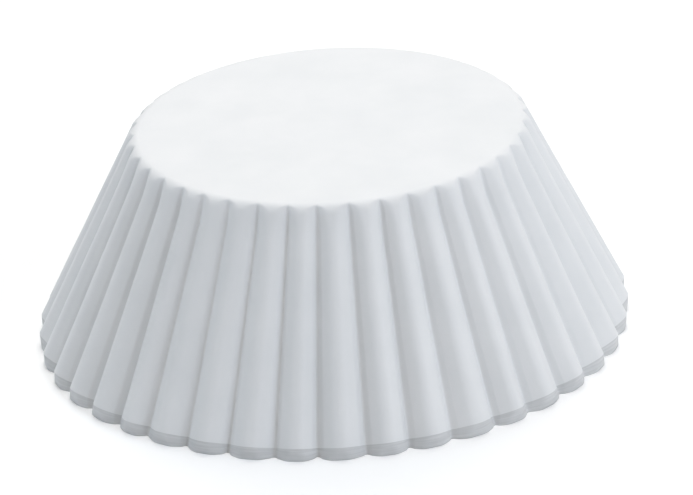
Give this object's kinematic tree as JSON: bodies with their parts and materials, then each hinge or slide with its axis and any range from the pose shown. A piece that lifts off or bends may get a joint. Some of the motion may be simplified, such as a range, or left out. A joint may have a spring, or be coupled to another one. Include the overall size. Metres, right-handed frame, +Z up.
{
  "type": "cupcake liner",
  "caption": "Fluted paper baking cup standing mouth down: flat round base, flared wall pressed into narrow grooves, short turned-in rim.",
  "frame": {"origin": "Centre of the circle that the rim rests on, on the surface that the liner stands on", "axes": "+Z runs up the liner's axis, out through the outer face of its base; the mouth faces -Z; -Y is the side nearest the viewer, with the middle of a crest on it"},
  "size_m": [0.0768, 0.077, 0.028],
  "materials": {
    "greaseproof_paper": "matt white greaseproof paper with a faint sheen"
  },
  "bodies": {
    "root": {"liner": "greaseproof_paper"}
  },
  "joints": []
}
